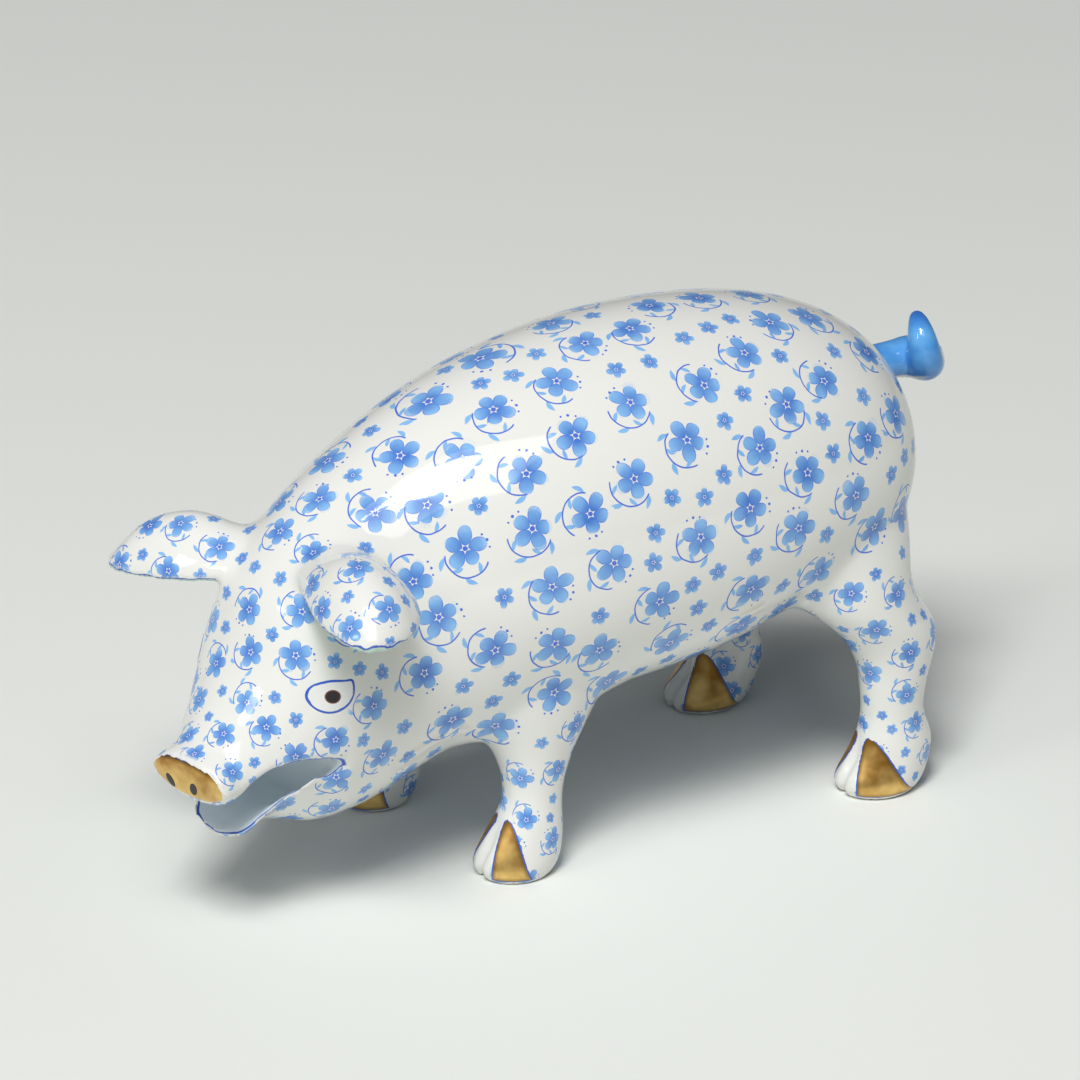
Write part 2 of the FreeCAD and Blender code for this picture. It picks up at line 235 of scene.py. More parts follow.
# Knots round a section of each form, and its grid: points along, points around
knots = {"body": 16, "mouth": 16, "jaw": 32, "leg": 12, "ear": 16}
grids = {"body": (130, 140), "mouth": (40, 64), "jaw": (40, 96), "leg": (60, 60), "ear": (50, 96),
         "earRim": (60, 96)}

# Body from rump to snout: dorsal point x, z, belly point x, z, half width
body = {
    "sections": np.array([
        (52.1, 48.1, 52.0, 45.7, 1.2), (51.9, 50.9, 51.4, 42.7, 4.6), (51.5, 53.6, 49.9, 38.8, 8.8),
        (49.6, 58.4, 47.4, 34.4, 14.0), (44.8, 63.8, 42.4, 31.2, 19.2), (34.4, 68.9, 33.0, 27.4, 23.2),
        (20.0, 71.7, 20.0, 22.6, 25.2), (4.0, 72.1, 5.0, 20.2, 25.2), (-11.0, 70.0, -9.0, 18.8, 23.8),
        (-23.5, 66.2, -20.0, 17.0, 21.4), (-34.5, 61.0, -29.5, 14.6, 18.6), (-43.5, 56.2, -38.5, 11.7, 16.2),
        (-50.0, 51.0, -45.0, 11.3, 14.6), (-54.1, 45.1, -50.5, 12.6, 12.8), (-57.0, 38.3, -55.4, 16.4, 10.6),
        (-60.6, 32.4, -59.6, 19.0, 8.4), (-64.7, 28.3, -63.6, 19.6, 6.9), (-68.1, 27.3, -66.4, 20.4, 7.4)]),
    "widest": 0.47, "ventSection": 7,
}


def bodyRings():
    # Upper and lower half ellipses that share their widest points
    s = body["sections"]
    zero = np.zeros(len(s))
    top, bottom = np.stack([s[:, 0], zero, s[:, 1]], 1), np.stack([s[:, 2], zero, s[:, 3]], 1)
    middle = bottom + (top - bottom) * body["widest"]
    angle = turns(knots["body"])[None, :, None]
    reach = np.where(np.sin(angle) >= 0, (top - middle)[:, None], (bottom - middle)[:, None])
    across = s[:, 4][:, None, None] * np.cos(angle) * np.array([0, 1, 0])
    return bend(middle[:, None] + reach * abs(np.sin(angle)) + across)


# Mouth: x, height of the upper lip, arch of the palate above it
mouth = {
    "sections": np.array([
        (-50.2, 25.1, 0.6), (-54.0, 24.9, 1.2), (-59.0, 23.5, 2.0), (-63.2, 21.2, 0.6),
        (-65.6, 19.0, 0.0), (-71.0, 14.0, 0.0)]),
    "halfWidth": 16.0, "floor": 6.0, "from": -46.0, "below": 31.0,
}


def mouthRings():
    # Flat below, and above as high as the lip at the sides and arched between them
    x, lip, arch = (column[:, None] for column in mouth["sections"].T)
    around = turns(knots["mouth"])
    across, rise = np.cos(around), np.sin(around)
    height = np.where(rise >= -tiny, lip + arch * (1 - across ** 2), mouth["floor"])
    return bend(np.stack(np.broadcast_arrays(x, mouth["halfWidth"] * across, height), -1))


# Lower jaw: x, half width, rim, keel, thickness of the floor, and the power of the curve from keel to rim,
# which falls from the jowl's round to the V of the lip
jaw = {
    "sections": np.array([
        (-47.0, 12.2, 24.0, 12.0, 4.4, 2.6), (-50.5, 12.2, 24.4, 12.8, 3.6, 2.4),
        (-53.5, 10.8, 23.4, 13.5, 2.8, 2.0), (-56.5, 8.8, 21.6, 14.2, 2.3, 1.6),
        (-59.4, 6.7, 18.6, 13.9, 1.8, 1.4), (-62.0, 4.8, 15.7, 13.0, 1.3, 1.3)]),
    "edge": 1.3, "hollowPower": 2.0, "lipRoundness": 0.6,
}


def jawWalls(across, rim, keel, floor, power):
    # Lower and upper surface of the trough: each rises from the keel to the rim by a power of the way across
    under = keel + (rim - jaw["edge"] - keel) * abs(across) ** power
    over = keel + floor + (rim - keel - floor) * abs(across) ** jaw["hollowPower"]
    return under, over


def jawRings():
    x, halfWidth, rim, keel, floor, power = (column[:, None] for column in jaw["sections"].T)
    waves = np.cos(turns(knots["jaw"])), np.sin(turns(knots["jaw"]))
    across, rise = (np.sign(wave) * abs(wave) ** jaw["lipRoundness"] for wave in waves)
    under, over = jawWalls(across, rim, keel, floor, power)
    height = under + (over - under) * (1 + rise) / 2
    return bend(np.stack(np.broadcast_arrays(x, halfWidth * across, height), -1))


# Legs: height, shift to the rear, inwards, half length, half width; hoof: x, y, lean
legs = {
    "front": np.array([
        (0.0, -0.7, 0.0, 5.0, 4.7), (1.2, -0.6, 0.0, 5.9, 5.3), (4.0, 0.3, 0.0, 5.9, 5.2),
        (6.6, 1.2, 0.0, 5.2, 4.7), (10.0, 2.1, 0.1, 4.3, 4.1), (14.0, 2.6, 0.4, 4.6, 4.3),
        (19.0, 3.3, 0.9, 6.2, 5.4), (25.0, 3.7, 2.2, 9.0, 7.2), (32.0, 3.7, 4.6, 11.0, 8.4),
        (40.0, 3.7, 7.0, 9.0, 7.0)]),
    "rear": np.array([
        (0.0, -1.4, 0.0, 5.4, 4.7), (1.2, -1.3, 0.0, 6.4, 5.4), (4.0, -0.1, 0.0, 6.5, 5.3),
        (7.0, 1.0, 0.0, 5.9, 4.8), (11.0, 0.9, 0.0, 4.7, 4.2), (15.0, 0.9, 0.1, 4.8, 4.4),
        (19.0, 1.2, 0.4, 5.6, 5.0), (23.5, 0.5, 1.2, 7.2, 6.2), (29.0, -3.6, 2.8, 8.6, 7.6),
        (36.0, -4.9, 5.2, 10.2, 8.6), (45.0, -5.6, 8.0, 11.0, 8.0)]),
    "hooves": {"front_left": (-17.3, -14.4, 0.0), "front_right": (-22.5, 15.4, 0.08),
               "rear_left": (41.1, -18.9, 0.0), "rear_right": (35.9, 17.9, 0.16)},
}


def legRings(name):
    # Level ovals, one above the other
    height, back, inwards, halfLength, halfWidth = legs[name.split("_")[0]].T[:, :, None]
    x, y, lean = legs["hooves"][name]
    angle = turns(knots["leg"])
    toRear = x + back + lean * height + halfLength * np.cos(angle)
    sideways = y - math.copysign(1, y) * inwards + halfWidth * np.sin(angle)
    return np.stack(np.broadcast_arrays(toRear, sideways, height), -1)


# Ears: share of the length, width, thickness, cup depth, shift to the rear; root and tip, on the straight
# pig
ears = {
    "sections": np.array([
        (-0.24, 7.6, 3.2, 1.5, 0.4), (0.0, 9.8, 3.3, 2.5, 0.2), (0.22, 12.0, 2.9, 4.6, 0.8),
        (0.45, 13.4, 2.5, 5.8, 1.3), (0.66, 12.6, 2.2, 5.2, 1.5), (0.84, 9.6, 2.0, 3.3, 1.2),
        (0.95, 5.6, 1.7, 1.2, 0.6), (1.0, 2.4, 1.3, 0.4, 0.2)]),
    "edgeRoundness": 0.55, "glaze": 0.12, "turnedUnder": 0.6, "linedFrom": 0.16, "skinWithin": 0.6,
    "left": ((-46.3, -7.5, 48.6), (-56.6, -25.2, 46.8)),
    "right": ((-46.5, 7.5, 45.8), (-55.0, 26.8, 43.6)),
}


def earFrame(side):
    root, tip = bend(np.array(ears[side]))
    along = tip - root
    rear = np.cross((0, 0, 1), along)
    rear *= np.sign(rear[0]) / np.linalg.norm(rear)
    crown = np.cross(along, rear)
    return root, along, rear, crown * np.sign(crown[2]) / np.linalg.norm(crown)


def earRings(side):
    # Each section is a thin oval laid along a parabola, hollow side down
    root, along, rear, crown = earFrame(side)
    share, width, thickness, cup, back = (column[:, None, None] for column in ears["sections"].T)
    around = turns(knots["ear"])[None, :, None]
    across, rise = np.cos(around), np.sin(around)
    slope = 4 * cup * across / width
    length = np.sqrt(1 + slope ** 2)
    half = (thickness / 2 + ears["glaze"]) * np.sign(rise) * abs(rise) ** ears["edgeRoundness"]
    sideways = back + width / 2 * across + half * slope / length
    up = cup * (1 - across ** 2) + half / length
    return root + along * share + rear * sideways + crown * up


# Millimetres for the skin, and how many rounds each smoothing takes
skinSizes = {"voxel": 0.6, "lip": 1.1, "rim": 2.2, "snoutEdge": 1.8, "jawEnd": 1.0, "jawEndBelow": 18.0,
             "jawEndShare": 0.6, "jointShare": 0.6, "paintReach": 1.0}
fillets = {"jaw": 2.4, "front": 7.0, "rear": 4.0, "ear": 4.0}
skinRounds = {"free": 2, "normals": 6, "swell": 12, "joints": 30, "even": 16, "fit": 4, "lips": 14,
              "rims": 60, "carved": 2}
cornerGain = 1.4            # how fast a fillet grows with the angle between two forms
lipGain = 1.5               # how fast the smoothing grows towards a lip


def drawForms():
    wholeBody = closedGrid(skinGrid(bodyRings(), *grids["body"]))
    opening = closedGrid(skinGrid(mouthRings(), *grids["mouth"]))
    forms = {"body": cutAway(wholeBody, opening), "jaw": closedGrid(skinGrid(jawRings(), *grids["jaw"]))}
    for name in legs["hooves"]:
        forms[name] = closedGrid(skinGrid(legRings(name), *grids["leg"]))
    for side in ("left", "right"):
        forms["ear " + side] = closedGrid(skinGrid(earRings(side), *grids["ear"]))
    return forms, wholeBody, opening


def distances(points, reach):
    # How far each point is from each form, up to the reach, and that form's normal
    away, facing = {}, {}
    for name, (formPoints, _) in forms.items():
        near = ((points > formPoints.min(0) - reach) & (points < formPoints.max(0) + reach)).all(1)
        away[name], facing[name] = np.full(len(points), farOff), np.zeros((len(points), 3))
        found, facing[name][near] = nearest(trees[name], points[near])
        away[name][near] = np.linalg.norm(found - points[near], axis=1)
    return away, facing


def nearLip(points):
    # 1 at the sharp edges of the mouth cut, at the jaw's end and round the snout; 0 farther off
    along = straighten(points)[:, 0]
    snoutEnd = body["sections"][-1, [0, 2]].mean()
    result = 1 - np.clip(abs(along - snoutEnd) / skinSizes["snoutEdge"], 0, 1)
    inMouth = (along < mouth["from"]) & (points[:, 2] < mouth["below"])
    spots = points[inMouth]
    gaps = [np.linalg.norm(nearest(tree, spots)[0] - spots, axis=1) for tree in (wholeTree, openingTree)]
    result[inMouth] = np.maximum(result[inMouth], 1 - np.clip(np.maximum(*gaps) / skinSizes["lip"], 0, 1))
    fromJawEnd = abs(along - jaw["sections"][-1, 0])
    jawEnd = (fromJawEnd < skinSizes["jawEnd"]) & (points[:, 2] < skinSizes["jawEndBelow"])
    return np.maximum(result, jawEnd * skinSizes["jawEndShare"])


def nearRim(points):
    # 1 at the sharpest line of an ear's rim or of the jaw's, 0 from some way off
    crests = [0, grids["earRim"][1] // 2]
    lines = [skinGrid(earRings(side), *grids["earRim"])[:, crests] for side in ("left", "right")]
    trough = skinGrid(jawRings(), *grids["jaw"])
    lines += [trough[:, crests], trough[-1]]
    gap = np.full(len(points), farOff)
    for spot in np.concatenate([line.reshape(-1, 3) for line in lines]):
        gap = np.minimum(gap, ((points - spot) ** 2).sum(1))
    return np.clip(2 - 2 * np.sqrt(gap) / skinSizes["rim"], 0, 1)


def makeSkin():
    points, faces = grownTogether(list(forms.values()), skinSizes["voxel"])
    edges = edgesOf(faces)
    away, facing = distances(points, max(fillets.values()) + 1)
    onto, lip = np.argmin(list(away.values()), 0), nearLip(points)

    # Slip fills the joints: the skin swells where two forms are near, as in a smooth union, and less where
    # they face the same way
    swell, joint = np.zeros(len(points)), np.zeros(len(points))
    for name in list(forms)[1:]:
        fillet = fillets[name.replace(" ", "_").split("_")[0]]
        closeness = np.clip(1 - np.maximum(away[name], away["body"]) / fillet, 0, 1)
        corner = np.clip(cornerGain * (1 - (facing[name] * facing["body"]).sum(1)), 0, 1)
        swell = np.maximum(swell, fillet / 4 * closeness ** 2 * corner)
        joint = np.maximum(joint, closeness)
    inJoint = np.clip(4 * joint, 0, 1)
    free = np.clip(1 - 4 * joint, 0, 1) * np.clip(1 - 2 * lip, 0, 1)
    free = relax(np.tile(free[:, None], 3), edges, skinRounds["free"], shrink=True)
    normals = relax(normalsOf(points, faces), edges, skinRounds["normals"], shrink=True)
    normals /= np.linalg.norm(normals, axis=1, keepdims=True)
    points = points + normals * relax(np.tile(swell[:, None], 3), edges, skinRounds["swell"], shrink=True)
    points = relax(points, edges, skinRounds["joints"], np.clip(swell, 0, 1), shrink=True)
    points = relax(points, edges, skinRounds["even"], 1 - free[:, 0])

    # Elsewhere each point goes onto its own form in small steps, which takes the ripples off thin rims
    for _ in range(skinRounds["fit"]):
        target = points.copy()
        for row, name in enumerate(forms):
            target[onto == row] = nearest(trees[name], points[onto == row])[0]
        points = relax(points + (target - points) * free, edges, 1)
    points = relax(points, edges, skinRounds["lips"], np.clip(lipGain * lip, 0, 1), shrink=True)
    amount = np.maximum(inJoint * skinSizes["jointShare"], nearRim(points))
    return relax(points, edges, skinRounds["rims"], amount), faces, edges


forms, wholeBody, opening = drawForms()
trees = {name: treeOf(*form) for name, form in forms.items()}
wholeTree, openingTree = treeOf(*wholeBody), treeOf(*opening)
print("forms drawn:", ", ".join(forms))
skinPoints, skinFaces, skinEdges = makeSkin()
skinNormals = normalsOf(skinPoints, skinFaces)
print("skin of", len(skinFaces), "quads")

# Groove between the toes, and the vent under the belly
details = {
    "cleftWidth": 0.9, "cleftDepth": 0.75, "cleftHeight": 9.0, "cleftBottom": 0.15, "cleftFadesFrom": 0.55,
    "cleftAhead": 0.5, "toeReach": 3, "hoofReach": 10,
    "ventRadius": 2.4, "ventDepth": 2.6, "ventEdge": (-0.45, 0.35), "ventReach": 5, "bellyBelow": 30,
}


def carve(points, normals):
    # Pushes the skin in along its normal by a soft-edged depth
    depth = np.zeros(len(points))
    for x, y, lean in legs["hooves"].values():
        aside = abs(points[:, 1] - y)
        ahead = points[:, 0] < x + lean * points[:, 2] - details["cleftAhead"]
        near = ahead & (aside < details["toeReach"]) & (abs(points[:, 0] - x) < details["hoofReach"])
        groove = 1 - smoothStep(details["cleftBottom"], details["cleftWidth"], aside)
        climbed = points[:, 2] / details["cleftHeight"]
        depth += near * groove * (1 - smoothStep(details["cleftFadesFrom"], 1.0, climbed))
    depth *= details["cleftDepth"]
    fromVent = np.hypot(points[:, 0] - body["sections"][body["ventSection"], 2], points[:, 1])
    belly = (points[:, 2] < details["bellyBelow"]) & (fromVent < details["ventReach"])
    outside = smoothStep(*details["ventEdge"], fromVent - details["ventRadius"])
    depth += belly * details["ventDepth"] * (1 - outside)
    return points - normals * depth[:, None]


skinPoints = carve(skinPoints, skinNormals)
skinPoints = relax(skinPoints, skinEdges, skinRounds["carved"])
skinPoints[:, 2] = np.maximum(skinPoints[:, 2], 0)        # the soles are ground flat
skinTree = treeOf(skinPoints, skinFaces)
skinNormals = normalsOf(skinPoints, skinFaces)
straight = straighten(skinPoints)
awayFrom, _ = distances(skinPoints, skinSizes["paintReach"])


# The glaze reads fields on the skin, in millimetres: above 0 is inside the mouth or under the ear
mouthPaint = {"inset": 0.35, "gain": 1.6, "trough": 0.72, "onSkin": 0.45, "nearer": 0.05, "jawFrom": -48.5,
              "shortOfSnout": 0.4}


def mouthField(points):
    # Depth under the closed muzzle's surface, or height over the middle of the jaw's trough where that is
    # less; on the jaw itself only the latter
    field = np.full(len(points), -1.0)
    along = straight[:, 0]
    near = (along < mouth["from"]) & (points[:, 2] < mouth["below"])
    near &= along > mouth["sections"][-2, 0] - mouthPaint["shortOfSnout"]
    found, facing = nearest(wholeTree, points[near])
    depth = ((found - points[near]) * facing).sum(1) - mouthPaint["inset"]
    sections = jaw["sections"][::-1]
    halfWidth, *wall = (np.interp(along[near], sections[:, 0], column) for column in sections.T[1:])
    under, over = jawWalls(np.clip(straight[near, 1] / halfWidth, -1, 1), *wall)
    height = mouthPaint["gain"] * ((points[near, 2] - under) / (over - under) - mouthPaint["trough"])
    fromJaw = awayFrom["jaw"][near]
    onJaw = (fromJaw < mouthPaint["onSkin"]) & (fromJaw < awayFrom["body"][near] - mouthPaint["nearer"])
    onJaw &= along[near] < mouthPaint["jawFrom"]
    field[near] = np.where(onJaw, height, np.minimum(depth, height))
    return np.clip(field, -1, 1)


def earField(points):
    # How far a point is under the middle of the ear's thickness
    field = np.full(len(points), -1.0)
    for side in ("left", "right"):
        root, along, rear, crown = earFrame(side)
        length = np.linalg.norm(along)
        out = points - root
        share = out @ along / length ** 2
        known, *columns = ears["sections"].T
        width, thickness, cup, back = (np.interp(share, known, column) for column in columns)
        sideways = out @ rear - back
        middle = cup * (1 - (2 * sideways / width) ** 2)
        near = (awayFrom["ear " + side] < ears["skinWithin"]) & (share > ears["linedFrom"])
        under = middle - out @ crown + ears["turnedUnder"] * (thickness / 2 + ears["glaze"])
        field[near] = under[near]
    return np.clip(field, -1, 1)


mouthSide = mouthField(skinPoints)
earSide = earField(skinPoints)
print("fields done")


# Painted sprigs: where each stands and how it lies on the skin
sprigs = {
    "spacing": 7.8, "onHead": 6.2, "onMuzzle": 4.7, "onLegs": 5.6, "onFeet": 4.5, "onEars": 5.6, "turn": 1.2,
    "head": (36, 48), "muzzle": (54, 62), "feet": (9, 24), "legWithin": 0.5, "earWithin": 0.4,
    "bareUnder": 0.3, "largeFromEyes": 5.9, "smallFromEyes": 4.6, "smallFromLarge": 0.77,
    "smallSpacing": 0.52, "smallSize": 0.5, "facing": 0.6, "flow": (0.3, 0.0, -1.0), "leastFlow": 0.2,
    "mostStretch": 1.6,
}
eye = {"x": -51.9, "y": 11.7, "z": 34.75, "stand": 20.0, "rings": 20}
eyePlaces = [bend(np.array([eye["x"], way * eye["y"], eye["z"]])) for way in (-1, 1)]

# Where painting ends, in millimetres: pairs are from painted to bare
bareSpots = {"snout": (-66.8, -67.4), "eye": (3.7, 3.2), "hoofAhead": 1, "hoofReach": 9, "hoofBelow": 9.5,
             "wedge": (2.6, 2.0), "sole": (0.5, 0.2), "lining": (-0.3, -0.1)}


def spacingAt(points):
    ahead = -straight[:, 0]
    size = sprigs["spacing"] + (sprigs["onHead"] - sprigs["spacing"]) * smoothStep(*sprigs["head"], ahead)
    size += (sprigs["onMuzzle"] - sprigs["onHead"]) * smoothStep(*sprigs["muzzle"], ahead)
    low = 1 - smoothStep(*sprigs["feet"], points[:, 2])
    onLeg = np.min([awayFrom[name] for name in legs["hooves"]], 0) < sprigs["legWithin"]
    legSize = sprigs["onLegs"] + (sprigs["onFeet"] - sprigs["onLegs"]) * low
    size = np.where(onLeg, np.minimum(size, legSize), size)
    onEar = np.minimum(awayFrom["ear left"], awayFrom["ear right"]) < sprigs["earWithin"]
    return np.where(onEar, sprigs["onEars"], size)


def bareAt(points):
    # 1 where nothing is painted: round the eyes, on the snout's rim, between the gold of the toes, on the
    # soles
    bare = smoothStep(*bareSpots["snout"], straight[:, 0])
    for place in eyePlaces:
        bare = np.maximum(bare, smoothStep(*bareSpots["eye"], np.linalg.norm(points - place, axis=1)))
    for x, y, lean in legs["hooves"].values():
        front = points[:, 0] < x + lean * points[:, 2] - bareSpots["hoofAhead"]
        front &= (abs(points[:, 0] - x) < bareSpots["hoofReach"]) & (points[:, 2] < bareSpots["hoofBelow"])
        bare = np.maximum(bare, front * smoothStep(*bareSpots["wedge"], abs(points[:, 1] - y)))
    bare = np.maximum(bare, smoothStep(*bareSpots["sole"], points[:, 2]))
    return np.maximum(bare, smoothStep(*bareSpots["lining"], np.maximum(mouthSide, earSide)))


def scatter(points, spacing, allowed):
    # Points picked in random order that keep their distance from each other
    chosen = []
    free = allowed.copy()
    for i in random.permutation(len(points)):
        if free[i]:
            chosen.append(i)
            free &= np.linalg.norm(points - points[i], axis=1) > spacing[i]
    return np.array(chosen)


spacing, bare = spacingAt(skinPoints), bareAt(skinPoints)
fromEyes = np.min([np.linalg.norm(skinPoints - place, axis=1) for place in eyePlaces], 0)
paintable = bare < sprigs["bareUnder"]
large = scatter(skinPoints, spacing, paintable & (fromEyes > sprigs["largeFromEyes"]))
clear = paintable & (fromEyes > sprigs["smallFromEyes"])
for seed in large:
    fromSeed = np.linalg.norm(skinPoints - skinPoints[seed], axis=1)
    clear &= fromSeed > sprigs["smallFromLarge"] * spacing[seed]
small = scatter(skinPoints, sprigs["smallSpacing"] * spacing, clear)
seeds = np.concatenate([large, small])
seedSize = np.concatenate([spacing[large], sprigs["smallSize"] * spacing[small]])
print("sprigs:", len(large), "large and", len(small), "small")


def sprigMaps(points, faces):
    # Each face takes the seed that is nearest for its size and faces the same way. The place of a corner
    # is in the plane that touches the skin at the seed, as a share of the seed's spacing.
    middles = points[faces].mean(1)
    facing = skinNormals[faces].mean(1)
    best, owner = np.full(len(faces), np.inf), np.zeros(len(faces), int)
    for number, (seed, size) in enumerate(zip(seeds, seedSize)):
        turned = 1 - facing @ skinNormals[seed]
        distance = ((middles - points[seed]) ** 2).sum(1) / size ** 2 + sprigs["facing"] * turned
        nearer = distance < best
        best[nearer], owner[nearer] = distance[nearer], number
    normal = skinNormals[seeds]
    turn = random.uniform(-sprigs["turn"], sprigs["turn"], len(seeds))[:, None]
    flow = np.cross(normal, sprigs["flow"])
    flow /= np.maximum(np.linalg.norm(flow, axis=1, keepdims=True), sprigs["leastFlow"])
    flow = flow * np.cos(turn) + np.cross(normal, flow) * np.sin(turn)
    across = np.cross(normal, flow) * random.choice([-1, 1], len(seeds))[:, None]
    out = points[faces] - points[seeds][owner][:, None]
    u, v = (out * flow[owner][:, None]).sum(2), (out * across[owner][:, None]).sum(2)
    stretch = np.linalg.norm(out, axis=2) / np.maximum(np.hypot(u, v), tiny)
    stretch = np.clip(stretch, 1, sprigs["mostStretch"])
    scale = stretch / seedSize[owner][:, None]
    lot = np.stack([random.random(len(seeds)), np.arange(len(seeds)) < len(large)], 1)[owner]
    return np.stack([u * scale, v * scale], -1), np.broadcast_to(lot[:, None], (len(faces), 4, 2))


sprigPlace, sprigLot = sprigMaps(skinPoints, skinFaces)


def makePiece(name, points, faces, material, slot, *nodes, maps={}, fields={}):
    # Millimetres of the drawn pig become metres of the frame; smooth shaded, riding on the one body
    piece = newObject(name, (points + shift) / perMetre, faces)
    mesh = piece.data
    mesh.polygons.foreach_set("use_smooth", [True] * len(mesh.polygons))
    for mapName, values in maps.items():
        layer = mesh.uv_layers.new(name=mapName)
        layer.data.foreach_set("uv", np.ascontiguousarray(values, dtype=np.float32).ravel())
    for fieldName, values in fields.items():
        mesh.attributes.new(fieldName, "FLOAT", "POINT").data.foreach_set("value", values.astype(np.float32))
    mesh.materials.append(material)
    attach(piece, "root")
    if nodes:
        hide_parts(*nodes)
    return piece


def feed(node, inputs):
    # Links the socket, or sets the value, that is given for each input
    for key, value in inputs.items():
        if isinstance(value, bpy.types.NodeSocket):
            node.id_data.links.new(value, node.inputs[key])
        elif value is not None:
            node.inputs[key].default_value = value


def addNode(tree, kind, *inputs, at={}, out=0, **settings):
    # Adds a node, such as "Mix" or "VectorMath ADD"; "ADD" alone is a Math node. An input is a socket, a
    # value or None
    name, _, operation = ("Math " + kind if kind.isupper() else kind).partition(" ")
    node = tree.nodes.new("ShaderNode" + name)
    if operation:
        node.operation = operation
    for key, value in settings.items():
        setattr(node, key, value)
    feed(node, dict(enumerate(inputs)) | at)
    return node.outputs[out]


def newMaterial(name):
    material = bpy.data.materials.new(name)
    material.use_nodes = True
    tree = material.node_tree
    return material, partial(addNode, tree), tree.nodes["Principled BSDF"]


# Hard-paste porcelain under a clear feldspar glaze: warm white, hard mirror gloss. The blue is painted by
# hand on the biscuit, so it lies under the gloss: wet dabs, deeper where the brush left them, and thin
# violet-blue lines.
glazeLook = {
    "body": "#ECECE6", "washPale": "#83BDF2", "washDeep": "#2E74CF", "line": "#5577DA", "lip": "#3E60BC",
    "mouth": "#E4EEF5", "mouthShaded": "#DCE6EC", "lining": "#C3DDCF", "roughness": 0.06, "index": 1.52,
    "wobble": {"Scale": 420.0, "Detail": 1.0}, "wobbleBy": (0.05, 0.05, 0.0),
    "pool": {"Scale": 330.0, "Detail": 2.0}, "pooled": (1.2, -0.62), "fading": (-0.95, 0.95),
    "washShare": 0.94, "rimShare": 0.75, "sideSharp": 9.0, "edgeWidth": (0.14, 0.1), "edgeSharp": 12.0,
    "swell": {"Scale": 120.0, "Detail": 1.0}, "bumpStrength": 0.04, "bumpDistance": 0.001,
}
# A sprig, in shares of its spacing, which is 7.8 mm at most. Here and below a pair is a factor and an
# offset.
sprigShape = {
    "sharp": 130.0,             # a painted edge goes from none to full in the inverse of this
    "lineHalfWidth": 0.018, "petals": 5, "petalLength": (0.1085, 0.2542),
    "petalFrom": 0.05, "petalWidth": 0.28, "petalRise": 0.6, "petalFall": 0.45, "petalInset": 0.006,
    "rim": (-60.0, 1.9), "eyeRadius": 0.048, "blossomAt": (0.11, 0.05, 0.0),
    "stemRadius": 0.385, "stemStart": 1.45, "stemLength": 1.1, "stemEnds": 40.0,
    "leafLength": 0.24, "leafEvery": 0.27, "leafFrom": -0.03, "leafAlong": 0.77, "leafAside": 0.64,
    "leafWidth": (0.19, -0.003),
    "dots": (((0.31, -0.3, 0), 0.03), ((0.39, -0.2, 0), 0.024), ((0.2, -0.37, 0), 0.024)),
}
rgba = {"out": 2, "data_type": "RGBA"}      # for a Mix node of two colours


def blossom(add, place, chance, isLarge):
    # The angle round its middle is folded into one petal, a drop that widens from the middle outwards
    s = sprigShape
    centre = add("VectorMath MULTIPLY", s["blossomAt"], add("CombineXYZ", isLarge, isLarge))
    fromCentre = add("VectorMath SUBTRACT", place, centre)
    x = add("SeparateXYZ", fromCentre)
    radius = add("VectorMath LENGTH", fromCentre, out="Value")
    angle = add("ARCTAN2", x.node.outputs[1], x)
    angle = add("MULTIPLY_ADD", angle, s["petals"] / (2 * math.pi), s["petals"])
    angle = add("ADD", angle, chance)
    petal = add("TexWhiteNoise", add("CombineXYZ", add("FLOOR", angle), chance))
    folded = add("SUBTRACT", add("FRACT", angle), 0.5)
    folded = add("MULTIPLY", folded, 2 * math.pi / s["petals"])
    outward = add("MULTIPLY", radius, add("COSINE", folded))
    sideways = add("MULTIPLY", radius, add("SINE", folded))
    longer = add("MULTIPLY_ADD", petal, *s["petalLength"])
    share = add("DIVIDE", add("SUBTRACT", outward, s["petalFrom"]), longer, use_clamp=True)
    rising = add("POWER", share, s["petalRise"])
    falling = add("POWER", add("SUBTRACT", 1.0, share), s["petalFall"])
    width = add("MULTIPLY", add("MULTIPLY", rising, falling), s["petalWidth"])
    inside = add("SUBTRACT", width, add("ABSOLUTE", sideways))
    petals = add("MULTIPLY", add("SUBTRACT", inside, s["petalInset"]), s["sharp"], use_clamp=True)
    rim = add("MULTIPLY", add("MULTIPLY_ADD", inside, *s["rim"], use_clamp=True), petals)
    middle = add("MULTIPLY_ADD", radius, -s["sharp"], s["eyeRadius"] * s["sharp"], use_clamp=True)
    return petals, share, rim, middle


